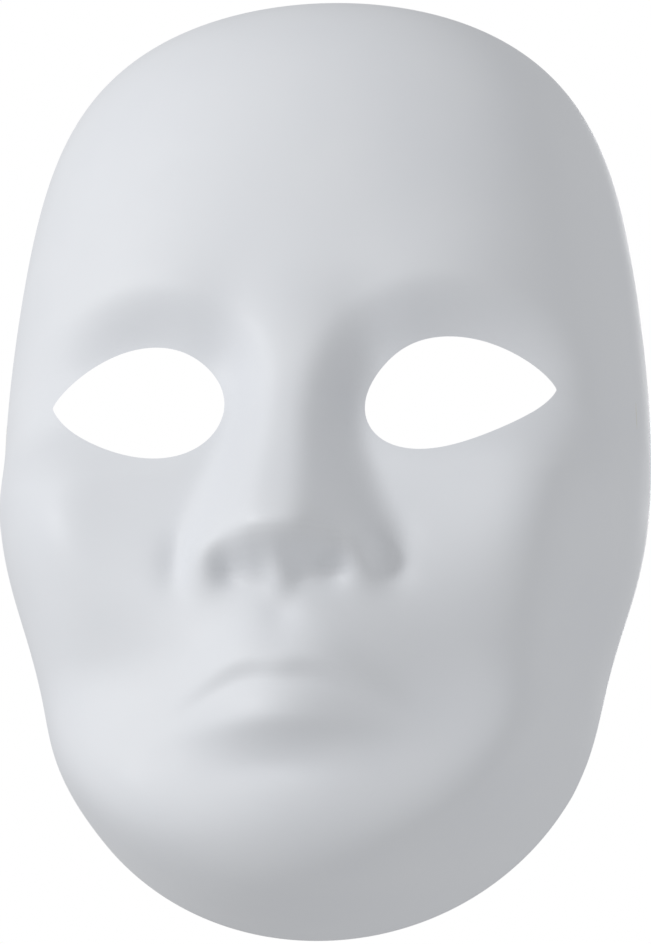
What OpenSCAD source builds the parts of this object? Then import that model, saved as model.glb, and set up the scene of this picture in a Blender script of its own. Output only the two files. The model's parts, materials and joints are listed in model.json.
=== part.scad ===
// Blank full-face masquerade mask with an elastic head strap that swings on two inside posts.
// +Z is up as worn, the face looks to -Y, and the flat rim lies in the plane y = 0.
// The origin is in the rim plane, midway between the two strap pivots.

/* [Shell] */
// Half the width of the rim at eye level
half_width = 84; // [78:1:90]
// Half the height of the rim
half_height = 124; // [116:1:132]
// Depth of the face before the nose, lips and chin are added
face_depth = 61; // [56:1:66]
// Thickness of the moulded shell
wall = 1.6; // [1.2:0.1:2.0]
// How far the ridge of the nose rises for each mm down from its bridge
nose_slope = 0.49; // [0.4:0.01:0.55]

/* [Eye holes] */
// Centre of each hole, sideways from the middle
eye_x = 41.4; // [39.4:0.5:43.4]
// Half the length of each hole
eye_half_length = 23.4; // [20.4:0.5:24.4]
// Height of each hole above its corner line
eye_rise = 16.6; // [13:0.2:17]
// Depth of each hole below its corner line
eye_drop = 16.8; // [13:0.2:17]

/* [Strap] */
// Width of the elastic band
band_w = 12; // [8:1:12]
// Thickness of the elastic band
band_t = 0.9; // [0.6:0.1:0.9]
// Slant of the hanging legs of the strap, from vertical
leg_slant = 27; // [24:1:29]
// Where the slider rests, measured down the left leg
slider_at = 38; // [34:1:42]

/* [Pivots] */
// Diameter of each anchor post
post_d = 5; // [4:0.5:5]
// Extra diameter of the bore that turns on the post
bore_play = 0.2; // [0.1:0.02:0.2]

/* [Padding] */
// Thickness of the foam pads
pad_t = 5; // [3:0.5:6]

/* [Hidden] */
$fn = 48;

rim_mid_z = -4.5;          // height of the middle of the rim above the strap pivots
eye_z = 0;                 // height of the corner line of each eye hole
hole_bevel = 3;            // how much wider the holes are inside, so that their edges are thin
columns = 40;              // cells across the face
rows = 54;                 // cells up the face
finest_row = -0.22;        // where the rows are closest, from -1 at the chin to 1 at the crown
crowding = 0.45;           // how much closer the middle cells are than an even grid
rings = 3;                 // rings of cells round each eye hole
hole_margin = 5;           // least distance from an eye hole to the plain grid
pivot_y = -10;             // strap pivots lie this far in front of the rim plane
tab_x = half_width - 7.2;  // middle of each strap tab, sideways
tab_t = 2;                 // thickness of each tab
side_gap = 0.4;            // clearance on each side of a tab
bar_drop = 16;             // from a pivot down to the bar that holds the band
bar_r = 1.1;
band_in = bar_r + 0.2;     // inner radius of the band's loop round a bar
band_out = band_in + band_t;
band_mid = (band_in + band_out) / 2;
arc_r = 44;                // radius of the bottom of the hanging strap
seam = 0.4;                // overlap of the stretches that make up one band
tail_len = 70;             // length of the adjustable tail beside the left leg
hem_len = 8;
tack = [0.3, 9, 4];        // thickness, width and length of a bar tack

// Height of the centre of the strap's bottom arc, so that both legs meet it smoothly
arc_z = -bar_drop - (tab_x * cos(leg_slant) - arc_r - band_mid) / sin(leg_slant);
leg_len = (tab_x - band_mid * cos(leg_slant) - arc_r * cos(leg_slant)) / sin(leg_slant);

// ---- Shape of the face ----

function smooth(a, b, x) = let (t = min(1, max(0, (x - a) / (b - a)))) t * t * (3 - 2 * t);
function bump(x, z, cx, cz, rx, rz) = exp(-pow((x - cx) / rx, 2) - pow((z - cz) / rz, 2));
function pair(x, z, cx, cz, rx, rz) = bump(x, z, cx, cz, rx, rz) + bump(x, z, -cx, cz, rx, rz);
function total(v) = v * [for (i = v) 1];

// Humps and hollows on both sides: [height, sideways, up, half-width, half-height]
SIDE_HUMPS = [
    [4.6, 19.5, -47.5, 5.5, 6.5], // wings of the nose
    [-2.4, 13.5, -49.5, 4, 3.6], // closed nostrils
    [-2.2, 27, -46, 4.5, 7],     // crease beside the nose
    [-3.2, 18, 6, 8.5, 16],      // inner corner of the socket
    [1.5, 36, 32, 24, 10],       // brow
    [3.2, 63, -32, 14, 18],      // cheekbone
    [-6, 46, -80, 22, 26],       // hollow of the cheek
    [-1.5, 66, 34, 16, 26]       // temple
];
// Humps and hollows on the midline: [height, up, half-width, half-height]
MID_HUMPS = [
    [1, 26, 14, 14],             // between the brows
    [8, -75, 24, 22],            // round of the mouth
    [-1.2, -59, 4.5, 7],         // groove under the nose
    [-1.2, -99, 15, 4],          // fold under the lips
    [3.6, -51.5, 3.5, 5],        // wall between the nostrils
    [3, -110, 24, 12],           // ball of the chin
    [2, 68, 60, 40]              // forehead
];

function bell(t) = exp(-t * t);
// Zero below t = 0 and t above it, with a rounded corner
function ramp(t, softness) = softness * ln(1 + exp(min(30, max(-30, t / softness))));

// Width of the rim at height t, -1 at the chin to 1 at the crown, beyond a plain ellipse
function rim_widening(t) =
    let (up = max(0, t), down = max(0, -t))
    1 + 0.46 * pow(up, 2.8) + 0.165 * down * down
      - (t < 0 ? 0.055 * (bell((down - 0.46) / 0.2) - bell(0.46 / 0.2)) : 0);

function nose(x, z) =
    let (ridge = nose_slope * ramp(7 - z, 5) + 3 * bell((z + 8) / 17),
         underside = 1 / (1 + exp(-min(30, max(-30, (z + 47) / 2)))),
         w = 13 + 9 * smooth(4, -42, z) + 8 * smooth(4, 30, z),
         flank = 1.25 * (1.1 - norm([x / w, 0.1])))
    ridge * underside * (ramp(flank, 0.1) - ramp(flank - 1, 0.1));

function socket(x, z) =
    let (side = abs(x), r = norm([(side - 41) / 37, (z - 4) / 27]))
    -8 * (0.35 + 0.65 * smooth(-18, 14, z)) * (1 - 0.2 * smooth(35, 70, side)) * (1 - smooth(0.3, 1, r));

function lips(x, z) =
    let (side = abs(x), line = z + 78 + 0.45 * ramp(side - 11, 2.5) + 0.8 * bell(x / 5))
    3 * bell((line - 5) / (line > 5 ? 7 : 4.2)) * smooth(33, 8, side)
    + 5 * bell((z + 88.5) / (z > -88.5 ? 9 : 4.6)) * bell(x / 18)
    - 0.4 * bell(line / 2.2) * smooth(34, 14, side);

function features(x, z) =
    nose(x, z) + socket(x, z) + lips(x, z)
    + total([for (h = SIDE_HUMPS) h[0] * pair(x, z, h[1], h[2], h[3], h[4])])
    + total([for (h = MID_HUMPS) h[0] * bump(x, z, 0, h[1], h[2], h[3])]);

// Point of the outer face over the point s of a unit hemisphere [across, forward, up]
function on_face(s) =
    let (x = half_width * s[0] * rim_widening(s[2]),
         z = rim_mid_z + half_height * s[2],
         // The cheeks are squarer than the forehead, and the chin is squarer still but set back
         cheek = 0.25 + 0.75 * smooth(2, -24, z),
         chin = smooth(-66, -116, z),
         section = 1 - (1 - s[1]) * (1 - cheek * s[1]) * pow(1 - chin * s[1], 3),
         reach = 1 + 0.12 * s[0] * s[0]
             + (s[2] > 0 ? 0.38 * s[2] * s[2] : 0.14 * smooth(0, -60, z) - 0.08 * smooth(-78, -124, z)))
    [x, -face_depth * section * reach - features(x, z) * smooth(0.03, 0.42, s[1]), z];

// The face is mapped from a unit disc: its edge is the rim and its centre the middle of the face
function face_at(p) =
    let (r = norm(p), k = r < 0.000001 ? 1.5708 : sin(90 * r) / r)
    on_face([p[0] * k, cos(90 * r), p[1] * k]);

// Disc point that lies under a given x and z
function disc_at(x, z) =
    let (up = (z - rim_mid_z) / half_height, across = x / (half_width * rim_widening(up)),
         s = norm([across, up]), k = s < 0.000001 ? 0.63662 : asin(min(1, s)) / 90 / s)
    [across * k, up * k];

function face_normal(p, e = 0.002) =
    let (n = cross(face_at(p + [e, 0]) - face_at(p - [e, 0]), face_at(p + [0, e]) - face_at(p - [0, e])))
    n / norm(n);

// Point at a given depth below the outer face
function under_face(p, depth) = face_at(p) - depth * face_normal(p);

// ---- Mesh of the shell ----

function unit_grid(i, n) = 2 * i / n - 1;
// The same grid drawn closer together round one line
function crowded(s, finest) = s - crowding / PI * (sin(180 * (s - finest)) - sin(180 * finest));
function disc_of_square(u, v) = [u * sqrt(1 - v * v / 2), v * sqrt(1 - u * u / 2)];
function grid_disc(i, j) =
    disc_of_square(crowded(unit_grid(i, columns), 0), crowded(unit_grid(j, rows), finest_row));

// Outline of the eye hole on one side, t = 0 at the outer corner
function eye_edge(t, side) =
    [side * (eye_x + eye_half_length * cos(t)),
     eye_z + (sin(t) > 0 ? eye_rise : eye_drop) * sin(t) * pow(abs(sin(t / 2)), 0.55) / 0.875 + 2.9 * cos(t)];

// Block of grid cells that the rings round one eye hole replace: [first column, last, first row, last]
function last_below(v, limit) = len([for (a = v) if (a < limit) 1]) - 1;
function eye_block(side) =
    let (across = [for (i = [0:columns]) face_at(grid_disc(i, rows / 2))[0]],
         near = min(side * (eye_x - eye_half_length), side * (eye_x + eye_half_length)) - hole_margin,
         far = max(side * (eye_x - eye_half_length), side * (eye_x + eye_half_length)) + hole_margin,
         middle = last_below(across, side * eye_x),
         up = [for (j = [0:rows]) face_at(grid_disc(middle, j))[2]])
    [last_below(across, near), last_below(across, far) + 1,
     last_below(up, eye_z - eye_drop - hole_margin),
     last_below(up, eye_z + eye_rise + hole_margin) + 1];
BLOCKS = [eye_block(-1), eye_block(1)];

function block_edge(b) = concat(
    [for (i = [b[0]:b[1] - 1]) [i, b[2]]], [for (j = [b[2]:b[3] - 1]) [b[1], j]],
    [for (i = [b[1]:-1:b[0] + 1]) [i, b[3]]], [for (j = [b[3]:-1:b[2] + 1]) [b[0], j]]);
EDGES = [block_edge(BLOCKS[0]), block_edge(BLOCKS[1])];

function ring_point(side, edge, k, r, bevel) =
    let (p = face_at(grid_disc(edge[k][0], edge[k][1])),
         turn = atan2((p[2] - eye_z) / eye_drop, (side * p[0] - eye_x) / eye_half_length),
         q = eye_edge(turn < 0 ? turn + 360 : turn, side),
         from_middle = q - [side * eye_x, eye_z],
         f = pow(r / rings, 0.85),
         widening = bevel * f * f / norm(from_middle) * from_middle)
    disc_at(p[0] * (1 - f) + q[0] * f + widening[0], p[2] * (1 - f) + q[1] * f + widening[1]);

grid_count = (columns + 1) * (rows + 1);
function disc_points(bevel) = concat(
    [for (i = [0:columns]) for (j = [0:rows]) grid_disc(i, j)],
    [for (e = [0, 1]) for (r = [1:rings]) for (k = [0:len(EDGES[e]) - 1])
        ring_point(2 * e - 1, EDGES[e], k, r, bevel)]);

function grid_index(i, j) = i * (rows + 1) + j;
function ring_index(e, r, k) =
    let (n = len(EDGES[e]), kk = k % n)
    r == 0 ? grid_index(EDGES[e][kk][0], EDGES[e][kk][1])
           : grid_count + e * rings * len(EDGES[0]) + (r - 1) * n + kk;
function in_block(i, j, b) = i >= b[0] && i < b[1] && j >= b[2] && j < b[3];

FRONT = concat(
    [for (i = [0:columns - 1]) for (j = [0:rows - 1])
        if (!in_block(i, j, BLOCKS[0]) && !in_block(i, j, BLOCKS[1]))
        [grid_index(i, j), grid_index(i, j + 1), grid_index(i + 1, j + 1), grid_index(i + 1, j)]],
    [for (e = [0, 1]) for (r = [0:rings - 1]) for (k = [0:len(EDGES[e]) - 1])
        [ring_index(e, r, k), ring_index(e, r + 1, k), ring_index(e, r + 1, k + 1), ring_index(e, r, k + 1)]]);
RIM = [for (p = block_edge([0, columns, 0, rows])) grid_index(p[0], p[1])];

// Walls that join front and back along the rim and round each hole
function edge_wall(loop, shift) =
    [for (k = [0:len(loop) - 1]) let (a = loop[k], b = loop[(k + 1) % len(loop)]) [a, b, b + shift, a + shift]];
function turned(faces) = [for (f = faces) [f[3], f[2], f[1], f[0]]];
function flat_rim(p, on_rim) = on_rim ? [p[0], 0, p[2]] : p;

module mask_shell() {
    outer = [for (p = disc_points(0)) flat_rim(face_at(p), norm(p) > 0.9999)];
    inner = [for (p = disc_points(hole_bevel)) flat_rim(under_face(p, wall), norm(p) > 0.9999)];
    n = len(outer);
    hole_loops = [for (e = [0, 1]) [for (k = [0:len(EDGES[e]) - 1]) ring_index(e, rings, k)]];
    color("whitesmoke")
    polyhedron(
        points = concat(outer, inner),
        faces = concat(
            FRONT,
            [for (f = turned(FRONT)) f + [n, n, n, n]],
            edge_wall(RIM, n),
            turned(edge_wall(hole_loops[0], n)), turned(edge_wall(hole_loops[1], n))),
        convexity = 12);
}

// ---- Foam pads inside the shell ----

// A domed pad that lies against the inside of the shell, centred at x, z
module foam_pad(x, z, half, cells) {
    gap = 0.3;
    edge_t = 1;
    n = (cells[0] + 1) * (cells[1] + 1);
    spots = [for (i = [0:cells[0]]) for (j = [0:cells[1]])
        disc_of_square(unit_grid(i, cells[0]), unit_grid(j, cells[1]))];
    discs = [for (s = spots) disc_at(x + half[0] * s[0], z + half[1] * s[1])];
    function index(i, j) = i * (cells[1] + 1) + j;
    faces = [for (i = [0:cells[0] - 1]) for (j = [0:cells[1] - 1])
        [index(i, j), index(i, j + 1), index(i + 1, j + 1), index(i + 1, j)]];
    edge = [for (p = block_edge([0, cells[0], 0, cells[1]])) index(p[0], p[1])];
    color("gainsboro")
    polyhedron(
        points = concat(
            [for (d = discs) under_face(d, wall + gap)],
            [for (k = [0:n - 1]) let (r = norm(spots[k]))
                under_face(discs[k], wall + gap + edge_t + (pad_t - edge_t) * (1 - pow(r, 4)))]),
        faces = concat(faces, [for (f = turned(faces)) f + [n, n, n, n]], edge_wall(edge, n)),
        convexity = 4);
}
module forehead_pad() { foam_pad(0, 66, [34, 11], [12, 6]); }
module left_cheek_pad() { foam_pad(47, -46, [12, 15], [6, 8]); }
module right_cheek_pad() { mirror([1, 0, 0]) left_cheek_pad(); }

// ---- Strap pivots, on the +X side and mirrored for the other ----

anchor_plate = [1.4, 14, 18];
plate_x = half_width - 4.3; // middle of the anchor plate, which follows the slope of the shell
plate_turn = -7.2;
cap_r = 4.2;
cap_t = 2;
tab_inner_x = tab_x - tab_t / 2 - side_gap;
tab_outer_x = tab_x + tab_t / 2 + side_gap;

module along_x(from, to, r) {
    translate([from, pivot_y, 0]) rotate([0, 90, 0]) cylinder(h = to - from, r = r);
}

module strap_anchor() {
    post_end = tab_inner_x - cap_t / 2;
    union() {
        translate([plate_x, pivot_y, 0]) rotate([0, 0, plate_turn]) cube(anchor_plate, center = true);
        along_x(tab_outer_x, plate_x, 4);
        along_x(post_end, plate_x, post_d / 2);
    }
}

module anchor_cap() {
    difference() {
        union() {
            along_x(tab_inner_x - cap_t + 0.5, tab_inner_x, cap_r);
            translate([tab_inner_x - cap_t, pivot_y, 0]) rotate([0, 90, 0])
                cylinder(h = 0.5, r1 = cap_r - 0.6, r2 = cap_r);
        }
        along_x(tab_inner_x - cap_t / 2, tab_inner_x + 1, post_d / 2);
    }
}

module strap_tab() {
    arm_y = band_w / 2 + 0.7;      // inner side of each arm from the middle of the tab
    arm_w = 1.8;
    shoulder_z = -8;
    translate([tab_x, pivot_y, 0]) {
        rotate([0, 90, 0]) linear_extrude(tab_t, center = true) difference() {
            union() {
                circle(6.2);
                translate([-shoulder_z - 3.4, -arm_y - arm_w]) square([3.4, 2 * (arm_y + arm_w)]);
                for (s = [-1, 1])
                    translate([-shoulder_z - 1, s * (arm_y + arm_w / 2) - arm_w / 2])
                        square([bar_drop + shoulder_z + 1 + bar_r, arm_w]);
            }
            circle((post_d + bore_play) / 2);
        }
        translate([0, 0, -bar_drop]) rotate([90, 0, 0])
            cylinder(h = 2 * arm_y + 1, r = bar_r, center = true);
    }
}

module left_strap_anchor() { color("white") strap_anchor(); }
module right_strap_anchor() { color("white") mirror([1, 0, 0]) strap_anchor(); }
module left_anchor_cap() { color("silver") anchor_cap(); }
module right_anchor_cap() { color("silver") mirror([1, 0, 0]) anchor_cap(); }
module left_strap_tab() { color("ivory") strap_tab(); }
module right_strap_tab() { color("ivory") mirror([1, 0, 0]) strap_tab(); }

// ---- Elastic strap, a flat band bent in the XZ plane ----

// Frame of a hanging leg: origin on the bar, -z down the leg, +x outward
module on_leg(side) {
    mirror([side < 0 ? 1 : 0, 0, 0])
        translate([tab_x, pivot_y, -bar_drop]) rotate([0, leg_slant, 0]) children();
}
module leg_outline(side) {
    mirror([side < 0 ? 1 : 0, 0]) translate([tab_x, -bar_drop]) rotate(-leg_slant) children();
}
module loop_outline() {
    intersection() {
        difference() { circle(band_out); circle(band_in); }
        translate([-band_out - 1, -seam]) square([2 * band_out + 2, band_out + 1]);
    }
}
module main_leg_outline() {
    translate([-band_out, -leg_len - seam]) square([band_t, leg_len + seam]);
}
// The sewn end: it comes off the bar, meets the main leg and lies on it
module sewn_end_outline() {
    meet = -12;
    lap = 14;
    inside = -band_in - band_t / 2;      // runs into the main leg, so that the two are one solid
    polygon([[band_in, 0], [band_in, -2], [-band_in, meet], [inside, meet], [inside, meet - lap],
             [band_t - band_in, meet - lap], [band_t - band_in, meet], [band_out, -2], [band_out, 0]]);
}
// The adjustable end: it runs beside the main leg through the slider and ends in a hem
module tail_outline() {
    translate([band_in, -tail_len]) square([band_t, tail_len]);
    translate([band_in, -tail_len]) square([2 * band_t, hem_len]);
}

module head_strap() {
    reach = 3 * arc_r;
    color("whitesmoke")
    translate([0, pivot_y + band_w / 2, 0]) rotate([90, 0, 0]) linear_extrude(band_w) {
        leg_outline(1) { loop_outline(); main_leg_outline(); tail_outline(); }
        leg_outline(-1) { loop_outline(); main_leg_outline(); sewn_end_outline(); }
        intersection() {
            translate([0, arc_z]) difference() {
                circle(arc_r + band_t / 2);
                circle(arc_r - band_t / 2);
            }
            translate([0, arc_z]) polygon([
                [0, 0], reach * [-cos(leg_slant), -sin(leg_slant)],
                [0, -reach], reach * [cos(leg_slant), -sin(leg_slant)]]);
        }
    }
}

// A bar tack shows as a raised patch of thread on both faces of the sewn layers
module bar_tack(side, inner, outer, down) {
    on_leg(side) for (x = [inner - tack[0], outer])
        translate([x, -tack[1] / 2, -down - tack[2]]) cube(tack);
}
module left_bar_tack() {
    color("gainsboro") bar_tack(1, band_in, band_in + 2 * band_t, tail_len - hem_len + 2);
}
module right_bar_tack() {
    color("gainsboro") bar_tack(-1, -band_out, band_t - band_in, 17);
}

// Slider with two slots: the main leg runs through one and the tail through the other
module strap_slider() {
    slot_play = 0.3;
    wall_t = 1.1;
    length = 7;
    half = [band_out + slot_play + wall_t, band_w / 2 + slot_play + 1.7];
    color("ivory")
    on_leg(1) translate([0, 0, -slider_at - length / 2]) linear_extrude(length) difference() {
        union() {
            square([2 * half[0], 2 * (half[1] - half[0] / 2)], center = true);
            square([2 * (half[0] - half[0] / 2), 2 * half[1]], center = true);
            for (sx = [-1, 1]) for (sy = [-1, 1])
                translate([sx * half[0] / 2, sy * (half[1] - half[0] / 2)]) circle(half[0] / 2);
        }
        for (s = [-1, 1]) translate([s * band_mid, 0])
            square([band_t + 2 * slot_play, band_w + 2 * slot_play], center = true);
    }
}

mask_shell();
left_strap_anchor();
right_strap_anchor();
left_anchor_cap();
right_anchor_cap();
left_strap_tab();
right_strap_tab();
head_strap();
left_bar_tack();
right_bar_tack();
strap_slider();
forehead_pad();
left_cheek_pad();
right_cheek_pad();
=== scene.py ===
"""Looks for the blank full-face mask: shell, foam pads, elastic head strap and its fittings.

The face is a deformed hemisphere. Lengths are in millimetres until a mesh is made, and then in metres.
"""

import json
import math

import bmesh
import bpy
import numpy as np
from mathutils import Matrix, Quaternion, Vector


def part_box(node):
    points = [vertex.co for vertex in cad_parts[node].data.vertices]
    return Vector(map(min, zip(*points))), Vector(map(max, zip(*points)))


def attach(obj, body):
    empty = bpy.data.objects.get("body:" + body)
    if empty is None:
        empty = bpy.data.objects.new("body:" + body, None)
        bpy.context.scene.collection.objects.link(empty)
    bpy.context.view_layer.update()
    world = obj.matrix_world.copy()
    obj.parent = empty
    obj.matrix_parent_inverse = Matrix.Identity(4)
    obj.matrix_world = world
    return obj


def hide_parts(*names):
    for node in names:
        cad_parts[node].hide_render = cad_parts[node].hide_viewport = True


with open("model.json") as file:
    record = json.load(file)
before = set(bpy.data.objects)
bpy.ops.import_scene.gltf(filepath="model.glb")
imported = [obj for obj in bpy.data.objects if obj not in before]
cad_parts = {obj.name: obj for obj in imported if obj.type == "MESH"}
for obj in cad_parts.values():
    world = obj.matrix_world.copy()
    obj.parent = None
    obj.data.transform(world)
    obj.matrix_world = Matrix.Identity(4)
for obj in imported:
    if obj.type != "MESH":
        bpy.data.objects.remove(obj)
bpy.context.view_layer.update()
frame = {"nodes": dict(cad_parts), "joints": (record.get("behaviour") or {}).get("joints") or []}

MM = 0.001


def box_mm(node):
    """Lowest and highest corner of a CAD node, in millimetres."""
    low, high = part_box(node)
    return np.array(low) / MM, np.array(high) / MM


def joint(name):
    return next(j for j in frame["joints"] if j["name"] == name)


# ---- Sizes, from the frame ----

shell_low, shell_high = box_mm("mask_shell")
HALF_WIDTH = shell_high[0]
HALF_HEIGHT = (shell_high[2] - shell_low[2]) / 2
RIM_MID_Z = (shell_high[2] + shell_low[2]) / 2
FACE_DEPTH = 0.6783 * -shell_low[1]    # the rest is the rise of the nose
WALL = 1.6
RIM_ROUNDING, HOLE_ROUNDING = 0.45, 0.06
EYE_X, EYE_Z = 41.4, 0.0
EYE_HALF_LENGTH = 23.4
EYE_RISE, EYE_DROP = 16.6, 16.8        # heights above and below the corner line
EYE_PINCH, EYE_PEAK = 0.55, 0.875      # how sharp the outer corner is, and the scale that makes up for it
EYE_TILT = 2.9                         # how far the outer corner is above the middle

COLUMNS, ROWS, RINGS = 168, 226, 12    # cells across and up the face, and rings round each eye hole
HOLE_BEVEL = 3.0                       # how much wider the holes are inside, so that their edges are thin
HOLE_MARGIN = 6.0                      # least distance from an eye hole to the plain grid
EDGE_STEPS = 6                         # steps round a rounded edge

NOSE_SLOPE = 0.49                      # how far the ridge of the nose rises for each mm down from its bridge
BRIDGE_Z, NOSE_BASE_Z = 7, -47
MOUTH_Z, LOWER_LIP_Z = -78, -88.5
SOCKET_X, SOCKET_Z, SOCKET_DEPTH = 41, 4, 8.0
EXP_LIMIT = 30                         # largest power of e that is ever worked out


# ---- Shape of the face, in millimetres ----

def smooth(a, b, x):
    t = np.clip((x - a) / (b - a), 0, 1)
    return t * t * (3 - 2 * t)


def bell(t):
    return np.exp(-t * t)


def bump(x, z, cx, cz, rx, rz):
    return bell((x - cx) / rx) * bell((z - cz) / rz)


def ramp(t, softness):
    """Zero below t = 0 and t above it, with a rounded corner."""
    return softness * np.log(1 + np.exp(np.clip(t / softness, -EXP_LIMIT, EXP_LIMIT)))


# Humps and hollows on both sides: height, sideways, up, half-width, half-height
SIDE_HUMPS = [
    (4.6, 19.5, -47.5, 5.5, 6.5),      # wings of the nose
    (-2.4, 13.5, -49.5, 4.0, 3.6),     # closed nostrils
    (-2.2, 27.0, -46.0, 4.5, 7.0),     # crease beside the nose
    (-3.2, 18.0, 6.0, 8.5, 16.0),      # inner corner of the socket
    (1.5, 36.0, 32.0, 24.0, 10.0),     # brow
    (3.2, 63.0, -32.0, 14.0, 18.0),    # cheekbone
    (-6.0, 46.0, -80.0, 22.0, 26.0),   # hollow of the cheek
    (-1.5, 66.0, 34.0, 16.0, 26.0),    # temple
]
# Humps and hollows on the midline: height, up, half-width, half-height
MID_HUMPS = [
    (1.0, 26.0, 14.0, 14.0),           # between the brows
    (8.0, -75.0, 24.0, 22.0),          # round of the mouth
    (-1.2, -59.0, 4.5, 7.0),           # groove under the nose
    (-1.2, -99.0, 15.0, 4.0),          # fold under the lips
    (3.6, -51.5, 3.5, 5.0),            # wall between the nostrils
    (3.0, -110.0, 24.0, 12.0),         # ball of the chin
    (2.0, 68.0, 60.0, 40.0),           # forehead
]


def rim_widening(t):
    """Width of the rim as a share of a plain ellipse's, at height t from -1 at the chin to 1 at the crown."""
    up, down = np.clip(t, 0, None), np.clip(-t, 0, None)
    pinch = (bell((down - 0.46) / 0.2) - bell(0.46 / 0.2)) * (t < 0)
    return 1 + 0.46 * up ** 2.8 + 0.165 * down ** 2 - 0.055 * pinch


def nose(x, z):
    """A ridge that rises downward from the bridge, with sloping flanks and a steep underside."""
    ridge = NOSE_SLOPE * ramp(BRIDGE_Z - z, 5.0) + 3.0 * bell((z + 8) / 17)
    underside = 1 / (1 + np.exp(-np.clip((z - NOSE_BASE_Z) / 2, -EXP_LIMIT, EXP_LIMIT)))
    width = 13 + 9 * smooth(4, -42, z) + 8 * smooth(4, 30, z)
    flank = 1.25 * (1.1 - np.hypot(x / width, 0.1))
    return ridge * underside * (ramp(flank, 0.1) - ramp(flank - 1, 0.1))


def socket(x, z):
    """A shallow bowl round the eye hole, deepest under the brow and shallower toward the temple."""
    side = np.abs(x)
    r = np.hypot((side - SOCKET_X) / 37, (z - SOCKET_Z) / 27)
    depth = SOCKET_DEPTH * (0.35 + 0.65 * smooth(-18, 14, z)) * (1 - 0.2 * smooth(35, 70, side))
    return -depth * (1 - smooth(0.3, 1.0, r))


def lips(x, z):
    """Two lips that meet in a shallow groove, which drops toward the corners of the mouth."""
    side = np.abs(x)
    above_mouth = z - MOUTH_Z + 0.45 * ramp(side - 11, 2.5) + 0.8 * bell(x / 5)
    upper = 3.0 * bell((above_mouth - 5) / np.where(above_mouth > 5, 7.0, 4.2)) * smooth(33, 8, side)
    lower = 5.0 * bell((z - LOWER_LIP_Z) / np.where(z > LOWER_LIP_Z, 9.0, 4.6)) * bell(x / 18)
    groove = 0.4 * bell(above_mouth / 2.2) * smooth(34, 14, side)
    return upper + lower - groove


def features(x, z):
    """How far the nose, sockets, lips and humps stand out from the plain face."""
    height = nose(x, z) + socket(x, z) + lips(x, z)
    for h, cx, cz, rx, rz in SIDE_HUMPS:
        height = height + h * (bump(x, z, cx, cz, rx, rz) + bump(x, z, -cx, cz, rx, rz))
    for h, cz, rx, rz in MID_HUMPS:
        height = height + h * bump(x, z, 0, cz, rx, rz)
    return height


def face_at(disc):
    """Points of the outer face over points of the unit disc, whose edge is the rim."""
    a, b = disc[..., 0], disc[..., 1]
    r = np.hypot(a, b)
    k = np.where(r < 1e-6, math.pi / 2, np.sin(r * math.pi / 2) / np.maximum(r, 1e-9))
    across, forward, up = a * k, np.cos(r * math.pi / 2), b * k
    x = HALF_WIDTH * across * rim_widening(up)
    z = RIM_MID_Z + HALF_HEIGHT * up
    # The cheeks are squarer than the forehead, and the chin is squarer still but set back
    cheek, chin = 0.25 + 0.75 * smooth(2, -24, z), smooth(-66, -116, z)
    section = 1 - (1 - forward) * (1 - cheek * forward) * (1 - chin * forward) ** 3
    # The forehead and the mouth stand further forward than on an ellipsoid
    reach = 1 + 0.12 * across ** 2 + np.where(
        up > 0, 0.38 * up ** 2, 0.14 * smooth(0, -60, z) - 0.08 * smooth(-78, -124, z))
    base = FACE_DEPTH * section * reach
    return np.stack([x, -base - features(x, z) * smooth(0.03, 0.42, forward), z], -1)


def disc_at(x, z):
    """Disc points that lie under the given x and z."""
    up = (z - RIM_MID_Z) / HALF_HEIGHT
    across = x / (HALF_WIDTH * rim_widening(up))
    s = np.hypot(across, up)
    k = np.where(s < 1e-6, 2 / math.pi, np.arcsin(np.clip(s, 0, 1)) * 2 / math.pi / np.maximum(s, 1e-9))
    return np.stack([across * k, up * k], -1)


def face_normal(disc, e=0.002):
    along_a = face_at(disc + [e, 0]) - face_at(disc - [e, 0])
    along_b = face_at(disc + [0, e]) - face_at(disc - [0, e])
    n = np.cross(along_a, along_b)
    return n / np.linalg.norm(n, axis=-1, keepdims=True)


def under_face(disc, depth):
    return face_at(disc) - np.asarray(depth)[..., None] * face_normal(disc)


def eye_edge(turn, side):
    """Outline of an eye hole as x and z, with turn 0 at its outer corner."""
    sine = np.sin(turn)
    height = np.where(sine > 0, EYE_RISE, EYE_DROP)
    x = EYE_X + EYE_HALF_LENGTH * np.cos(turn)
    z = (EYE_Z + height * sine * np.abs(np.sin(turn / 2)) ** EYE_PINCH / EYE_PEAK
         + EYE_TILT * np.cos(turn))
    return side * x, z


# ---- Mesh tools ----

def grid_quads(columns, rows):
    """Quads of a grid whose point (i, j) has index i * (rows + 1) + j."""
    i, j = np.meshgrid(np.arange(columns), np.arange(rows), indexing="ij")
    first = (i * (rows + 1) + j).ravel()
    return np.stack([first, first + rows + 1, first + rows + 2, first + 1], -1)


def square_to_disc(u, v):
    return np.stack([u * np.sqrt(1 - v * v / 2), v * np.sqrt(1 - u * u / 2)], -1)


def disc_grid(columns, rows):
    """Points of the unit disc, in a grid of columns by rows cells."""
    u, v = np.meshgrid(np.linspace(-1, 1, columns + 1), np.linspace(-1, 1, rows + 1), indexing="ij")
    return square_to_disc(u, v)


def grid_border(i0, i1, j0, j1):
    """Grid points round a block of cells, in order."""
    return ([(i, j0) for i in range(i0, i1)] + [(i1, j) for j in range(j0, j1)]
            + [(i, j1) for i in range(i1, i0, -1)] + [(i0, j) for j in range(j1, j0, -1)])


def loop_quads(a, b):
    """Quads between two closed loops of indices."""
    return np.stack([a, np.roll(a, -1), np.roll(b, -1), b], -1)


def tube_quads(loops, closed=False):
    """Quads from each loop of indices to the next, and from the last to the first of a closed tube."""
    following = np.roll(loops, -1, 0) if closed else loops[1:]
    return [list(q) for a, b in zip(loops, following) for q in loop_quads(a, b)]


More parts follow.
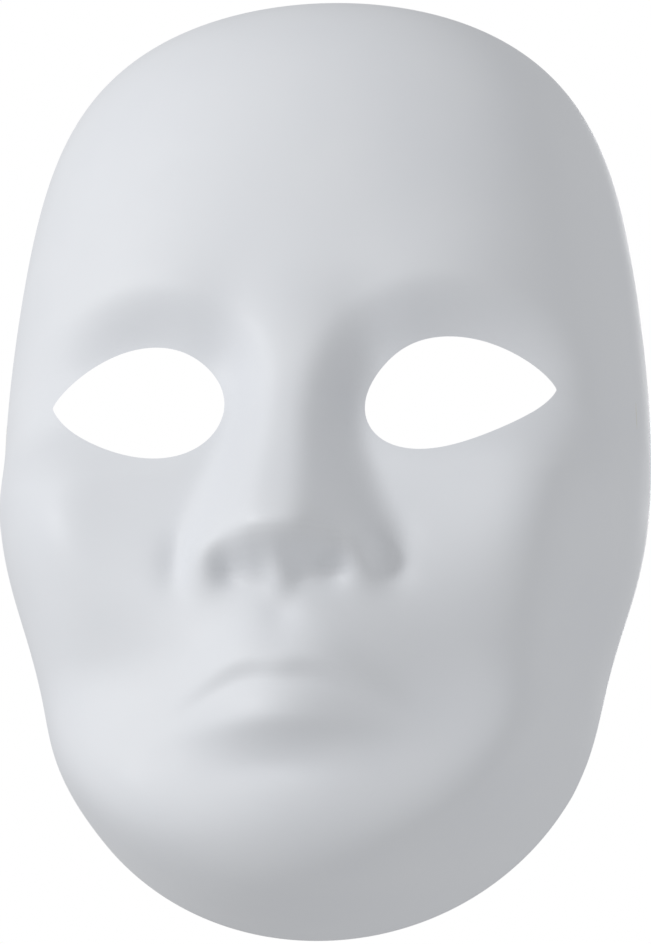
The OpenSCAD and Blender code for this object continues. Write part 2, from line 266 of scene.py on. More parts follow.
def closed_sheet(front, back, quads, edges):
    """Points and faces of the body between two sheets that share their quads.

    edges lists the loops to be closed: indices, outward directions, bulge, and whether it is a hole.
    """
    points, faces = [front, back], [quads, quads[:, ::-1] + len(front)]
    total = 2 * len(front)
    for loop, away, bulge, is_hole in edges:
        middle, half = (front[loop] + back[loop]) / 2, (front[loop] - back[loop]) / 2
        chain = [loop]
        for turn in np.linspace(0, math.pi, EDGE_STEPS + 1)[1:-1]:
            points.append(middle + half * np.cos(turn) + away * bulge * np.sin(turn) ** 0.6)
            chain.append(np.arange(total, total + len(loop)))
            total += len(loop)
        chain.append(loop + len(front))
        faces += [loop_quads(a, b) if is_hole else loop_quads(b, a) for a, b in zip(chain, chain[1:])]
    return np.concatenate(points), np.concatenate(faces)


def outward(points, faces):
    """The faces of a closed piece, turned over if they look inward."""
    corners = [np.asarray(points)[list(f)] for f in faces]
    volume = sum(np.dot(c[0], np.cross(c[i], c[i + 1])) for c in corners for i in range(1, len(c) - 1))
    return faces if volume > 0 else [list(f)[::-1] for f in faces]


def new_mesh(name, points, faces):
    mesh = bpy.data.meshes.new(name)
    mesh.from_pydata(np.asarray(points).tolist(), [], [list(map(int, f)) for f in faces])
    return mesh


def shade_smooth(mesh):
    """Smooth shading, broken only at the edges that turn by more than 40 degrees."""
    mesh.polygons.foreach_set("use_smooth", [True] * len(mesh.polygons))
    mesh.set_sharp_from_angle(angle=math.radians(40))


def add_to_scene(name, data):
    thing = bpy.data.objects.new(name, data)
    bpy.context.scene.collection.objects.link(thing)
    return thing


def place(name, mesh, material, body, replaces=()):
    piece = add_to_scene(name, mesh)
    mesh.materials.append(material)
    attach(piece, body)
    if replaces:
        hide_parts(*replaces)
    return piece


def make_piece(name, points, faces, material, body, replaces=(), weave=None):
    """A mesh piece from points in millimetres. weave gives each point its place on the cloth, in mm."""
    mesh = new_mesh(name, np.asarray(points) * MM, faces)
    mesh.validate()
    if weave is not None:
        cloth = mesh.attributes.new("weave", "FLOAT_VECTOR", "POINT")
        cloth.data.foreach_set("vector", np.asarray(weave, float).ravel())
    shade_smooth(mesh)
    return place(name, mesh, material, body, replaces)


# ---- Material tools ----

def math_node(tree, operation, *values):
    node = tree.nodes.new("ShaderNodeMath")
    node.operation = operation
    for socket_in, value in zip(node.inputs, values):
        if isinstance(value, bpy.types.NodeSocket):
            tree.links.new(value, socket_in)
        else:
            socket_in.default_value = value
    return node.outputs[0]


def new_material(name, colour, roughness, **shader_values):
    material = bpy.data.materials.new(name)
    material.use_nodes = True
    tree = material.node_tree
    shader = tree.nodes["Principled BSDF"]
    shader.inputs["Base Color"].default_value = (*colour, 1)
    shader.inputs["Roughness"].default_value = roughness
    for key, value in shader_values.items():
        shader.inputs[key.replace("_", " ")].default_value = value
    material.diffuse_color = (*colour, 1)
    return material, tree, shader


def noise(tree, per_metre, detail):
    """Noise over the piece's own coordinates."""
    place_node = tree.nodes.new("ShaderNodeTexCoord")
    node = tree.nodes.new("ShaderNodeTexNoise")
    node.inputs["Scale"].default_value = per_metre
    node.inputs["Detail"].default_value = detail
    tree.links.new(place_node.outputs["Object"], node.inputs["Vector"])
    return node.outputs["Fac"]


def spread(tree, value, low, high, centre=0.5, reach=0.2):
    """value about centre, give or take reach, mapped to low..high."""
    node = tree.nodes.new("ShaderNodeMapRange")
    node.inputs["From Min"].default_value = centre - reach
    node.inputs["From Max"].default_value = centre + reach
    node.inputs["To Min"].default_value = low
    node.inputs["To Max"].default_value = high
    tree.links.new(value, node.inputs["Value"])
    return node.outputs["Result"]


def two_tone(tree, shader, factor, dark, light):
    """Colours the surface from dark, where factor is 0, to light, where it is 1."""
    node = tree.nodes.new("ShaderNodeMix")
    node.data_type = "RGBA"
    tree.links.new(factor, node.inputs["Factor"])
    node.inputs["A"].default_value = (*dark, 1)
    node.inputs["B"].default_value = (*light, 1)
    tree.links.new(node.outputs["Result"], shader.inputs["Base Color"])


def add_bump(tree, shader, height, distance_mm, strength):
    """Adds a fine relief to the surface, on top of the one it has."""
    node = tree.nodes.new("ShaderNodeBump")
    node.inputs["Distance"].default_value = distance_mm * MM
    node.inputs["Strength"].default_value = strength
    tree.links.new(height, node.inputs["Height"])
    if shader.inputs["Normal"].links:
        tree.links.new(shader.inputs["Normal"].links[0].from_socket, node.inputs["Normal"])
    tree.links.new(node.outputs["Normal"], shader.inputs["Normal"])


def weave_place(tree):
    """Where a point lies on its cloth: along and across it, in millimetres."""
    node = tree.nodes.new("ShaderNodeAttribute")
    node.attribute_name = "weave"
    split = tree.nodes.new("ShaderNodeSeparateXYZ")
    tree.links.new(node.outputs["Vector"], split.inputs["Vector"])
    return split.outputs["X"], split.outputs["Y"]


# ---- Materials ----

CORD_PITCH, YARN_PITCH = 1.5, 0.85         # elastic: its lengthwise cords, and the yarns that cross them
WALE_PITCH, COURSE_PITCH = 0.9, 0.75       # knit: its loops across and along
TWIST_PITCH = 0.45                         # sewing thread


def mottled(name, colour, roughness, tones, tone_noise, rough_range, rough_noise, reliefs, **shader_values):
    """A material whose colour and roughness vary a little over the surface.

    A noise is its scale per metre and its detail. A relief is those two, its depth in mm and its strength.
    """
    material, tree, shader = new_material(name, colour, roughness, **shader_values)
    two_tone(tree, shader, spread(tree, noise(tree, *tone_noise), 0, 1), *tones)
    tree.links.new(spread(tree, noise(tree, *rough_noise), *rough_range), shader.inputs["Roughness"])
    for per_metre, detail, depth, strength in reliefs:
        add_bump(tree, shader, noise(tree, per_metre, detail), depth, strength)
    return material


def moulded_plastic(name, dark, light):
    return mottled(name, light, 0.38, tones=(dark, light), tone_noise=(160, 4),
                   rough_range=(0.30, 0.46), rough_noise=(420, 3), reliefs=[(2600, 2, 0.02, 0.35)])


def wave(tree, value, pitch):
    """A sine of value that repeats once in each pitch."""
    return math_node(tree, "SINE", math_node(tree, "MULTIPLY", value, 2 * math.pi / pitch))


def elastic():
    """Braided elastic: yarns cross each lengthwise cord in turn, slanting one way and then the other."""
    yarn_slant = 0.55
    material, tree, shader = new_material("white braided elastic", (0.78, 0.78, 0.77), 0.8)
    along, across = weave_place(tree)
    cord = math_node(tree, "DIVIDE", across, CORD_PITCH)
    leaning = math_node(tree, "PINGPONG", cord, 1.0)
    phase = math_node(tree, "MULTIPLY_ADD", leaning, yarn_slant, math_node(tree, "DIVIDE", along, YARN_PITCH))
    yarn = math_node(tree, "ABSOLUTE", wave(tree, phase, 2))
    # The gaps between the yarns are painted darker: painted shade in the grooves, laid over the relief below
    two_tone(tree, shader, yarn, (0.63, 0.63, 0.625), (0.83, 0.83, 0.82))
    add_bump(tree, shader, yarn, 0.12, 0.8)
    add_bump(tree, shader, noise(tree, 5200, 3), 0.05, 0.5)
    tree.links.new(spread(tree, noise(tree, 1800, 2), 0.72, 0.9), shader.inputs["Roughness"])
    return material


def knit_foam():
    """Foam faced with fine knit: rows of small loops."""
    loop_lean, wale_share, course_share = 0.35, 0.6, 0.4
    material, tree, shader = new_material("knit-faced foam", (0.79, 0.795, 0.80), 0.9)
    along, across = weave_place(tree)
    wale = wave(tree, across, WALE_PITCH)
    lean = math_node(tree, "MULTIPLY", math_node(tree, "ABSOLUTE", wale), loop_lean)
    course = wave(tree, math_node(tree, "ADD", along, lean), COURSE_PITCH)
    loops = math_node(tree, "MULTIPLY_ADD", math_node(tree, "ABSOLUTE", wale), wale_share,
                      math_node(tree, "MULTIPLY", course, course_share))
    # The hollows between the loops are painted darker: painted shade in the grooves, laid over the relief
    # below
    two_tone(tree, shader, spread(tree, loops, 0, 1, 0.4, 0.5), (0.68, 0.685, 0.70), (0.86, 0.865, 0.87))
    add_bump(tree, shader, loops, 0.14, 0.8)
    add_bump(tree, shader, noise(tree, 2400, 4), 0.08, 0.5)
    tree.links.new(spread(tree, noise(tree, 900, 2), 0.84, 0.97), shader.inputs["Roughness"])
    return material


def thread():
    material, tree, shader = new_material("white polyester thread", (0.74, 0.73, 0.70), 0.6)
    along, across = weave_place(tree)
    twist = wave(tree, math_node(tree, "ADD", along, across), TWIST_PITCH)
    # The grooves of the twist are painted darker: painted shade, laid over the relief below
    two_tone(tree, shader, spread(tree, twist, 0, 1, 0, 1), (0.60, 0.59, 0.56), (0.80, 0.79, 0.76))
    add_bump(tree, shader, twist, 0.05, 0.7)
    return material


SHELL_PLASTIC = mottled(
    "matt white shell plastic", (0.775, 0.795, 0.83), 0.56,
    tones=((0.762, 0.783, 0.822), (0.785, 0.804, 0.838)), tone_noise=(26, 4),
    rough_range=(0.50, 0.62), rough_noise=(55, 3), reliefs=[(1500, 2, 0.02, 0.25), (90, 2, 0.06, 0.3)])
NYLON = moulded_plastic("natural nylon", (0.70, 0.70, 0.68), (0.78, 0.78, 0.77))
ACETAL = moulded_plastic("ivory acetal", (0.70, 0.68, 0.62), (0.78, 0.765, 0.71))
NICKEL = mottled(
    "nickel plate", (0.62, 0.61, 0.59), 0.28,
    tones=((0.52, 0.51, 0.49), (0.66, 0.65, 0.63)), tone_noise=(500, 5),
    rough_range=(0.2, 0.42), rough_noise=(900, 4), reliefs=[(3000, 3, 0.015, 0.4)], Metallic=1.0)
GLUE = mottled(
    "clear-white adhesive", (0.74, 0.73, 0.68), 0.25,
    tones=((0.70, 0.685, 0.62), (0.78, 0.77, 0.73)), tone_noise=(300, 3),
    rough_range=(0.16, 0.34), rough_noise=(500, 3), reliefs=[(700, 3, 0.1, 0.4)])
ELASTIC, KNIT_FOAM, THREAD = elastic(), knit_foam(), thread()


# ---- Shell ----

def hole_block(x, z, side):
    """First and last column and row of the grid cells that the rings round an eye hole replace."""
    near, far = sorted(side * (EYE_X + s * EYE_HALF_LENGTH) for s in (-1, 1))
    middle_row = int(np.argmin(np.abs(z[COLUMNS // 2] - EYE_Z)))
    across = x[:, middle_row]
    up = z[int(np.argmin(np.abs(across - side * EYE_X)))]
    return (np.searchsorted(across, near - HOLE_MARGIN) - 1, np.searchsorted(across, far + HOLE_MARGIN),
            np.searchsorted(up, EYE_Z - EYE_DROP - HOLE_MARGIN) - 1,
            np.searchsorted(up, EYE_Z + EYE_RISE + HOLE_MARGIN))


def hole_rings(side, border):
    """Rings of x and z from a border round an eye hole to its edge, and wider ones for the inside."""
    centre = np.array([side * EYE_X, EYE_Z])
    reach = (border.max(0) - border.min(0)) / 2
    turn = np.arctan2((border[:, 1] - EYE_Z) / reach[1], side * (border[:, 0] - centre[0]) / reach[0])
    goal = np.stack(eye_edge(np.mod(turn, 2 * math.pi), side), -1)
    away = goal - centre
    away = away / np.linalg.norm(away, axis=1, keepdims=True)
    shares = (np.arange(1, RINGS + 1) / RINGS) ** 0.85
    rings = [border * (1 - share) + goal * share for share in shares]
    return rings, [ring + HOLE_BEVEL * share ** 2 * away for ring, share in zip(rings, shares)]


def build_shell():
    grid = disc_grid(COLUMNS, ROWS)
    flat_grid = face_at(grid)
    x, z = flat_grid[..., 0], flat_grid[..., 2]
    index = np.arange(x.size).reshape(x.shape)
    count = x.size
    discs, discs_inside = [grid.reshape(-1, 2)], [grid.reshape(-1, 2)]
    keep = np.ones((COLUMNS, ROWS), bool)
    quads, holes = [], []
    for side in (-1, 1):
        block = hole_block(x, z, side)
        keep[block[0]:block[1], block[2]:block[3]] = False
        border = grid_border(*block)
        previous = np.array([index[p] for p in border])
        for ring, wider in zip(*hole_rings(side, np.array([[x[p], z[p]] for p in border]))):
            discs.append(disc_at(ring[:, 0], ring[:, 1]))
            discs_inside.append(disc_at(wider[:, 0], wider[:, 1]))
            ring_index = np.arange(count, count + len(border))
            count += len(border)
            quads.append(loop_quads(previous, ring_index))
            previous = ring_index
        holes.append((side, previous))
    quads = np.concatenate([grid_quads(COLUMNS, ROWS)[keep.ravel()]] + quads)
    rim = np.array([index[p] for p in grid_border(0, COLUMNS, 0, ROWS)])

    outer = face_at(np.concatenate(discs))
    inner = under_face(np.concatenate(discs_inside), np.full(count, WALL))
    outer[rim, 1] = inner[rim, 1] = -RIM_ROUNDING
    edges = [(rim, np.array([0, 1, 0]), RIM_ROUNDING, False)]
    for side, loop in holes:
        inwards = np.array([side * EYE_X, 0, EYE_Z]) - outer[loop] * [1, 0, 1]
        edges.append((loop, inwards / np.linalg.norm(inwards, axis=1, keepdims=True), HOLE_ROUNDING, True))
    points, faces = closed_sheet(outer, inner, quads, edges)
    used = np.unique(faces)
    renumber = np.zeros(len(points), int)
    renumber[used] = np.arange(len(used))
    return points[used], renumber[faces]


shell_points, shell_faces = build_shell()
make_piece("shell_moulding", shell_points, shell_faces, SHELL_PLASTIC, "mask", ["mask_shell"])


# ---- Foam pads ----

def foam_pad(name, node):
    """A domed pad with a pressed border, lying against the inside of the shell."""
    gap, border_t, full_t, border_from, cells = 0.3, 1.0, 5.0, 0.88, 56
    size_share, edge_bulge = 0.99, 0.35
    low, high = box_mm(node)
    centre, reach = (low + high) / 2, (high - low) / 2 * size_share
    spot = disc_grid(cells, cells).reshape(-1, 2)
    x, z = centre[0] + reach[0] * spot[:, 0], centre[2] + reach[2] * spot[:, 1]
    disc = disc_at(x, z)
    r = np.hypot(spot[:, 0], spot[:, 1])
    dome = np.clip(1 - (r / border_from) ** 3, 0, 1) ** 0.75
    give = 0.12 * np.sin(0.23 * x + 0.7) * np.sin(0.31 * z + 0.4) * dome     # soft unevenness of the foam
    back = under_face(disc, np.full(len(disc), WALL + gap))
    front = under_face(disc, WALL + gap + border_t + (full_t - border_t) * dome + give)
    edge = np.array([i * (cells + 1) + j for i, j in grid_border(0, cells, 0, cells)])
    from_middle = back[edge] - back[edge].mean(0)
    away = from_middle / np.linalg.norm(from_middle, axis=1, keepdims=True)
    points, faces = closed_sheet(back, front, grid_quads(cells, cells), [(edge, away, edge_bulge, False)])
    weave = np.stack([points[:, 0], points[:, 2], points[:, 1]], -1)
    pad = make_piece(name, points, faces, KNIT_FOAM, "mask", [node], weave)


foam_pad("forehead_cushion", "forehead_pad")
foam_pad("left_cheek_cushion", "left_cheek_pad")
foam_pad("right_cheek_cushion", "right_cheek_pad")


# ---- Elastic strap: one band bent in the XZ plane ----

LEG_SLANT = math.atan2(-joint("slider_travel")["axis"][0], -joint("slider_travel")["axis"][2])
PIVOT_Y = joint("strap_swing")["pos_m"][1] / MM
tab_low, tab_high = box_mm("left_strap_tab")
strap_low, strap_high = box_mm("head_strap")
BAR_R = 1.1
TAB_X, BAR_Z = (tab_low[0] + tab_high[0]) / 2, tab_low[2] + BAR_R
BAND_W, BAND_T = strap_high[1] - strap_low[1], 0.88
BAND_IN = BAR_R + 0.2                  # inner radius of the loop round a bar
BAND_MID = BAND_IN + 0.45              # and the radius of the band's middle line there
ARC_R = 44.0                           # bottom of the hanging strap
LAP_FROM, LAP_TO = 12.0, 26.0          # sewn end on the right leg, measured down it
TAIL, HEM = 70.0, 8.0                  # adjustable end on the left leg
FOLD_R = 0.47                          # radius of the hem's fold
leg_run = TAB_X - BAND_MID * math.cos(LEG_SLANT) - ARC_R * math.cos(LEG_SLANT)
LEG_LENGTH = leg_run / math.sin(LEG_SLANT)
ARC_Z = BAR_Z - (TAB_X * math.cos(LEG_SLANT) - ARC_R - BAND_MID) / math.sin(LEG_SLANT)


def on_leg(place_on_leg, side):
    """x and z of points given as distance outward from the leg's axis, and up from its bar."""
    w, h = np.asarray(place_on_leg, float).T
    x = TAB_X + w * math.cos(LEG_SLANT) + h * math.sin(LEG_SLANT)
    return np.stack([side * x, BAR_Z - w * math.sin(LEG_SLANT) + h * math.cos(LEG_SLANT)], -1)


def leg_direction(w, h, side):
    """The direction w outward and h up on a leg, as x, y and z."""
    x, z = on_leg([(w, h)], side)[0] - on_leg([(0, 0)], side)[0]
    return np.array([x, 0, z])


def line(start, end, step=1.2):
    count = max(2, int(math.dist(start, end) / step) + 1)
    return np.linspace(start, end, count)


def arc(centre, radius, start, end, step=1.2):
    turns = np.linspace(start, end, max(9, int(abs(end - start) * radius / step) + 1))
    return np.array(centre) + radius * np.stack([np.cos(turns), np.sin(turns)], -1)


def band_route():
    """Middle line of the band, from its sewn end to its hem."""
    lap_w = BAND_T / 2 - BAND_IN
    h = np.linspace(-LAP_FROM, 0, 14)
    rise = np.stack([lap_w + (BAND_MID - lap_w) * smooth(0, 1, h / LAP_FROM + 1), h], -1)
    right = [line((lap_w, -LAP_TO), (lap_w, -LAP_FROM)), rise, arc((0, 0), BAND_MID, 0, math.pi),
             line((-BAND_MID, 0), (-BAND_MID, -LEG_LENGTH))]
    fold_w = BAND_MID + FOLD_R
    left = [line((-BAND_MID, -LEG_LENGTH), (-BAND_MID, 0)), arc((0, 0), BAND_MID, math.pi, 0),
            line((BAND_MID, 0), (BAND_MID, -TAIL)), arc((fold_w, -TAIL), FOLD_R, math.pi, 2 * math.pi),
            line((fold_w + FOLD_R, -TAIL), (fold_w + FOLD_R, HEM - TAIL))]
    parts = ([on_leg(p, -1) for p in right]
             + [arc((0, ARC_Z), ARC_R, math.pi + LEG_SLANT, 2 * math.pi - LEG_SLANT)]
             + [on_leg(p, 1) for p in left])
    route = np.concatenate(parts)
    apart = np.linalg.norm(np.diff(route, axis=0), axis=1) > 0.01
    return route[np.concatenate([[True], apart])]


def band_section(samples=6):
    """Place across the band and height above its middle, round the band: lengthwise cords show as ribs."""
    cords = round(BAND_W / CORD_PITCH)
    y = np.linspace(-BAND_W / 2, BAND_W / 2, cords * samples + 1)
    rib = np.abs(np.sin(math.pi * (y + BAND_W / 2) * cords / BAND_W)) ** 0.6
    top = np.stack([y, BAND_T / 2 * (0.74 + 0.26 * rib)], -1)
    edge = [[BAND_W / 2 + 0.12, 0]]
    return np.concatenate([top, edge, top[::-1] * [1, -1], np.negative(edge)])


def band_end(loop):
    """Faces that close the band's end: top, edge, bottom and the other edge follow each other in the loop."""
    last = len(loop) - 2
    across = range(last // 2 - 1)
    quads = [[loop[i], loop[i + 1], loop[last - i - 1], loop[last - i]] for i in across]
    return quads + [list(loop[last // 2 - 1:last // 2 + 2]), [loop[last], loop[last + 1], loop[0]]]


def build_band():
    route, section = band_route(), band_section()
    along = np.concatenate([[0], np.cumsum(np.linalg.norm(np.diff(route, axis=0), axis=1))])
    forward = np.gradient(route, axis=0)
    forward /= np.linalg.norm(forward, axis=1, keepdims=True)
    above = np.stack([-forward[:, 1], forward[:, 0]], -1)
    spread_out = route[:, None] + section[None, :, 1:] * above[:, None]
    rings, around = len(route), len(section)
    y = np.broadcast_to(PIVOT_Y + section[:, 0], (rings, around))
    points = np.stack([spread_out[..., 0], y, spread_out[..., 1]], -1).reshape(-1, 3)
    weave = np.stack([np.repeat(along, around), np.tile(section[:, 0], rings), np.zeros(rings * around)], -1)
    loops = np.arange(rings * around).reshape(rings, around)
    faces = tube_quads(loops) + [f[::-1] for f in band_end(loops[0])] + band_end(loops[-1])
    return points, faces, weave


band_points, band_faces, band_weave = build_band()
make_piece("elastic_band", band_points, outward(band_points, band_faces), ELASTIC, "strap",
           ["head_strap"], band_weave)


# ---- Stitching ----

def threads(ends, radius, rise, rings=7, sides=6):
    """Closed tubes, each from one point to another and arched between them along its own up direction."""
    points, faces, weave = [], [], []
    t = np.linspace(0, 1, rings)
    turn = np.linspace(0, 2 * math.pi, sides, endpoint=False)
    for start, end, up in ends:
        along = end - start
        beside = np.cross(along, up) / np.linalg.norm(along)
        swell = np.sin(math.pi * np.clip(t, 0.06, 0.94)) ** 0.5
        middle = start + t[:, None] * along + (rise * (swell - 0.7))[:, None] * up
        ring = np.cos(turn)[:, None] * up + np.sin(turn)[:, None] * beside
        tube = middle[:, None] + (radius * swell)[:, None, None] * ring
        base = len(points) * rings * sides
        loops = base + np.arange(rings * sides).reshape(rings, sides)
        faces += [q[::-1] for q in tube_quads(loops)] + [list(loops[0]), list(loops[-1][::-1])]
        points.append(tube.reshape(-1, 3))
        place_on_thread = np.stack(np.broadcast_arrays(
            t[:, None] * np.linalg.norm(along), radius * turn, np.zeros((rings, sides))), -1)
        weave.append(place_on_thread.reshape(-1, 3))
    return np.concatenate(points), faces, np.concatenate(weave)


def bar_tack(name, node, side, layers, at):
    """Close zigzag stitches over both faces of the sewn layers, which lie between two distances outward.

    at is the distance from the bar down to the middle of the stitches.
    """
    thread_r, rise, pitch, width, length = 0.17, 0.16, 0.25, 8.8, 3.8
    ends = []
    for w, way in ((layers[0], -1), (layers[1], 1)):
        up = way * leg_direction(1, 0, side)
        far, near = (on_leg([(w, -at - length * share)], side)[0] for share in (0.5, -0.5))
        for k, y in enumerate(np.arange(-width / 2, width / 2, pitch)):
            stitch = (near, far) if k % 2 else (far, near)
            tips = [np.array([p[0], PIVOT_Y + y + dy, p[1]]) for p, dy in zip(stitch, (0, pitch))]
            ends.append([*tips, up])
    points, faces, weave = threads(ends, thread_r, rise)
    make_piece(name, points, outward(points, faces), THREAD, "strap", [node], weave)


# Outer faces of the sewn stretches, as distances outward from the leg's axis
HEM_LAYERS = (BAND_IN, BAND_IN + 1.82)
LAP_LAYERS = (-BAND_IN - 0.9, BAND_T - BAND_IN)
bar_tack("left_tack_stitches", "left_bar_tack", 1, HEM_LAYERS, at=TAIL - HEM / 2)
bar_tack("right_tack_stitches", "right_bar_tack", -1, LAP_LAYERS, at=(LAP_FROM + LAP_TO) / 2)


# ---- Moulded and pressed fittings ----

def dressed_copy(name, node, material, body, edge, extra=None):
    """The CAD node's own shape with its sharp edges rounded to the given radius in mm, and extra detail."""
    flat_turn, sharp_turn = math.radians(2), math.radians(35)
    mould = bmesh.new()
    mould.from_mesh(frame["nodes"][node].data)
    bmesh.ops.remove_doubles(mould, verts=mould.verts, dist=0.002 * MM)
    bmesh.ops.dissolve_limit(mould, angle_limit=flat_turn, verts=mould.verts, edges=mould.edges)
    sharp = [e for e in mould.edges if len(e.link_faces) == 2 and e.calc_face_angle() > sharp_turn]
    bmesh.ops.bevel(mould, geom=sharp, offset=edge * MM, offset_type="OFFSET", segments=3, profile=0.5,
                    affect="EDGES", clamp_overlap=True)
    if extra:
        extra(mould)
    mesh = bpy.data.meshes.new(name)
    mould.to_mesh(mesh)
    mould.free()
    shade_smooth(mesh)
    piece = place(name, mesh, material, body, [node])
    piece.modifiers.new("even shading", "WEIGHTED_NORMAL").keep_sharp = True


def add_to_mould(mould, points, faces):
    corners = [mould.verts.new(p) for p in np.asarray(points) * MM]
    for face in faces:
        mould.faces.new([corners[i] for i in face])


def grip_ribs(mould):
    """Small raised ribs across the slider's outer face, for the thumb."""
    outer_face, spacing, half_length, rib_r = 3.6, 2, 4.6, 0.42
    low, high = box_mm("strap_slider")
    up, down = leg_direction(1, 0, 1), leg_direction(0, -1, 1)
    ends = []
    for step in (-spacing, 0, spacing):
        spot = (low + high) / 2 + outer_face * up + step * down
        ends.append([spot - [0, half_length, 0], spot + [0, half_length, 0], up])
    points, faces, _ = threads(ends, rib_r, 0.0, rings=15, sides=12)
    add_to_mould(mould, points, outward(points, faces))


def push_cap(name, node, side):
    """A pressed cap turned about the pivot: a flange, a groove and a shallow dome over the post."""
    low, high = box_mm(node)
    seat = high[0] if side > 0 else -low[0]
    # Distance inward from the seat on the tab, and radius
    recess = [(1.0, 0.0), (1.0, 2.55), (0.0, 2.6)]
    flange = [(0.0, 3.95), (0.08, 4.12), (0.28, 4.2), (0.7, 4.2), (0.9, 4.1), (0.98, 3.9), (0.98, 3.5)]
    dome = [(1.04, 3.3), (1.2, 3.16), (1.5, 2.85), (1.76, 2.3), (1.92, 1.5), (1.99, 0.75), (2.0, 0.0)]
    profile = recess + flange + dome
    turns = 64
    turn = np.linspace(0, 2 * math.pi, turns, endpoint=False)
    rims = [[(side * (seat - d), PIVOT_Y + r * math.cos(t), r * math.sin(t)) for t in turn]
            for d, r in profile[1:-1]]
    poles = [(side * (seat - d), PIVOT_Y, 0) for d, r in (profile[0], profile[-1])]
    points = np.concatenate(rims + [poles])
    loops = np.arange(len(rims) * turns).reshape(len(rims), turns)
    faces = tube_quads(loops)
    first_pole, last_pole = len(points) - 2, len(points) - 1
    faces += [[loops[0][k], first_pole, loops[0][(k + 1) % turns]] for k in range(turns)]
    faces += [[loops[-1][k], loops[-1][(k + 1) % turns], last_pole] for k in range(turns)]
    make_piece(name, points, outward(points, faces), NICKEL, "mask", [node])


def glue_bead(name, node, side):
    """Adhesive squeezed out all round between an anchor plate and the shell."""
    post_reach, inset, overlap = 6.5, 0.3, 0.35
    steps, section_steps = 120, 12
    plate = np.array([v.co for v in frame["nodes"][node].data.vertices]) / MM
    plate = plate[np.hypot(plate[:, 1] - PIVOT_Y, plate[:, 2]) > post_reach]      # the plate's corners
    middle, half = plate.mean(0), (plate.max(0) - plate.min(0)) / 2
    plate_line = np.polyfit(plate[:, 1], plate[:, 0], 1)
    # Points of the shell's inside round the anchor, close together
    u, v = np.meshgrid(np.linspace(0.93, 0.999, 160), np.linspace(-0.25, 0.3, 260), indexing="ij")
    wall_points = under_face(square_to_disc(side * u, v), np.full(u.shape, WALL)).reshape(-1, 3)
    turn = np.linspace(0, 2 * math.pi, steps, endpoint=False)
    section = np.linspace(0, 2 * math.pi, section_steps, endpoint=False)
    squareness = (np.abs(np.cos(turn)) ** 6 + np.abs(np.sin(turn)) ** 6) ** (-1 / 6)
    out_yz = np.stack([np.cos(turn), np.sin(turn)], -1)
    at_yz = middle[1:] + out_yz * squareness[:, None] * (half[1:] - inset)
    nearest = [np.argmin(((wall_points[:, 1:] - p) ** 2).sum(1)) for p in at_yz]
    wall_x, plate_x = wall_points[nearest, 0], np.polyval(plate_line, at_yz[:, 0])
    bulge = 0.95 + 0.25 * np.sin(3 * turn + 0.8) * np.sin(5 * turn + 0.2)         # uneven, as squeezed out
    mid_x, half_x = (wall_x + plate_x) / 2, np.abs(wall_x - plate_x) / 2 + overlap
    tube = np.stack([mid_x[:, None] + half_x[:, None] * np.cos(section),
                     at_yz[:, :1] + (bulge * out_yz[:, 0])[:, None] * np.sin(section),
                     at_yz[:, 1:] + (bulge * out_yz[:, 1])[:, None] * np.sin(section)], -1)
    points = tube.reshape(-1, 3)
    faces = tube_quads(np.arange(steps * section_steps).reshape(steps, section_steps), closed=True)
    make_piece(name, points, outward(points, faces), GLUE, "mask")


for side_name, side in (("left", 1), ("right", -1)):
    dressed_copy(f"{side_name}_anchor_moulding", f"{side_name}_strap_anchor", NYLON, "mask", 0.3)
    dressed_copy(f"{side_name}_tab_moulding", f"{side_name}_strap_tab", ACETAL, "strap", 0.35)
    push_cap(f"{side_name}_push_cap", f"{side_name}_anchor_cap", side)
    glue_bead(f"{side_name}_anchor_glue", f"{side_name}_strap_anchor", side)
dressed_copy("slider_moulding", "strap_slider", ACETAL, "slider", 0.4, grip_ribs)


# ---- Camera, light and floor ----

CAMERA_AZIMUTH, CAMERA_ELEVATION, CAMERA_ROLL = (math.radians(a) for a in (9.2, -16, 0.5))
CAMERA_DISTANCE = 1.9
SENSOR_HEIGHT = 24
FRAME_FILL = 0.99364                   # share of the frame's height that the shell takes

# Soft lights: place and diameter in metres, and power in watts
SOFTBOXES = {
    "key": ((-1.28, -1.24, 0.25), 0.45, 11.2),
    "upper": ((-1.09, -0.91, 1.11), 0.5, 3.0),
    "fill": ((1.75, 0.31, -0.25), 0.5, 1.8),
    "back": ((0.15, 1.85, 0.55), 0.6, 8.0),
}
EVEN_GLOW, BACKDROP_GLOW = 0.54, 1.0


def build_camera():
    """Puts the shell in the middle of the frame, seen from a little below and from its left side.

    Returns the point that the camera looks at.
    """
    away = Vector((math.sin(CAMERA_AZIMUTH) * math.cos(CAMERA_ELEVATION),
                   -math.cos(CAMERA_AZIMUTH) * math.cos(CAMERA_ELEVATION), math.sin(CAMERA_ELEVATION)))
    turn = (-away).to_track_quat("-Z", "Y") @ Quaternion((0, 0, 1), CAMERA_ROLL)
    axes = np.array(turn.to_matrix())
    points = shell_points * MM
    aim = Vector(points.mean(0))
    for _ in range(6):                 # each round brings the aim closer to the middle of what is seen
        seen = (points - np.array(aim + away * CAMERA_DISTANCE)) @ axes
        flat = seen[:, :2] * (CAMERA_DISTANCE / -seen[:, 2:])
        low, high = flat.min(0), flat.max(0)
        aim = aim + Vector(axes[:, :2] @ ((low + high) / 2))
    camera_data = bpy.data.cameras.new("camera")
    camera_data.sensor_width = SENSOR_HEIGHT      # a sensor's width is taken along the longer side
    camera_data.lens = SENSOR_HEIGHT * CAMERA_DISTANCE * FRAME_FILL / (high[1] - low[1])
    camera_data.clip_end = 50
    camera = add_to_scene("camera", camera_data)
    camera.rotation_mode = "QUATERNION"
    camera.location, camera.rotation_quaternion = aim + away * CAMERA_DISTANCE, turn
    bpy.context.scene.camera = camera
    return aim


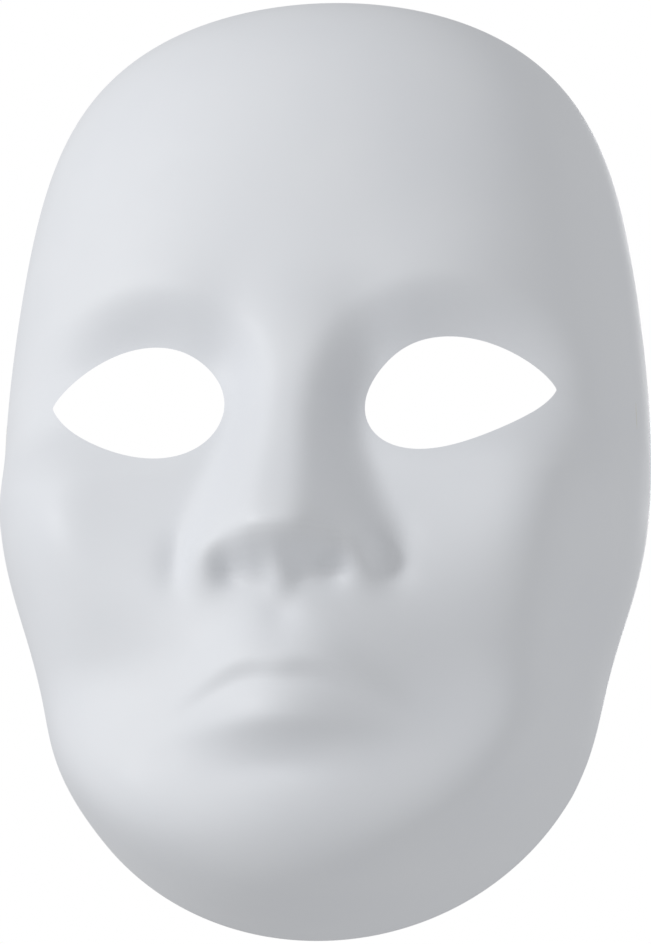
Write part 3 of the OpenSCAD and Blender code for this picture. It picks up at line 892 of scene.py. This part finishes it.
def softbox(name, place_at, size, watts, aim):
    light = bpy.data.lights.new(name, "AREA")
    light.shape, light.size, light.energy = "DISK", size, watts
    lamp = add_to_scene(name, light)
    lamp.location = place_at
    lamp.visible_camera = False
    lamp.rotation_mode = "QUATERNION"
    lamp.rotation_quaternion = (lamp.location - aim).to_track_quat("Z", "Y")


def build_world():
    """Even white light; seen directly it is the white backdrop."""
    world = bpy.data.worlds.new("studio")
    bpy.context.scene.world = world
    world.use_nodes = True
    tree = world.node_tree
    tree.nodes.clear()
    output = tree.nodes.new("ShaderNodeOutputWorld")
    mix = tree.nodes.new("ShaderNodeMixShader")
    tree.links.new(tree.nodes.new("ShaderNodeLightPath").outputs["Is Camera Ray"], mix.inputs[0])
    for socket_in, strength in ((mix.inputs[1], EVEN_GLOW), (mix.inputs[2], BACKDROP_GLOW)):
        glow = tree.nodes.new("ShaderNodeBackground")
        glow.inputs["Color"].default_value = (1, 1, 1, 1)
        glow.inputs["Strength"].default_value = strength
        tree.links.new(glow.outputs[0], socket_in)
    tree.links.new(mix.outputs[0], output.inputs[0])


def build_floor():
    """A pale round floor, well below the mask. It throws no light back up at it."""
    radius, drop, sides, rings = 6.0, 1.5, 96, 12
    turn = np.linspace(0, 2 * math.pi, sides, endpoint=False)
    loops = [np.stack([r * np.cos(turn), r * np.sin(turn), np.full(sides, -drop)], -1)
             for r in np.linspace(0.2, radius, rings)]
    faces = tube_quads(np.arange(rings * sides).reshape(rings, sides)) + [range(sides)]
    mesh = new_mesh("floor", np.concatenate(loops), faces)
    material, tree, shader = new_material("pale floor", (0.94, 0.94, 0.94), 0.7)
    two_tone(tree, shader, spread(tree, noise(tree, 1.5, 4), 0, 1), (0.93, 0.93, 0.93), (0.95, 0.95, 0.95))
    mesh.materials.append(material)
    floor = add_to_scene("floor", mesh)
    floor.visible_diffuse = False


aim_point = build_camera()
build_world()
build_floor()
for light_name, (light_place, light_size, power) in SOFTBOXES.items():
    softbox(light_name, light_place, light_size, power, aim_point)

bpy.context.scene.view_settings.view_transform = "Standard"
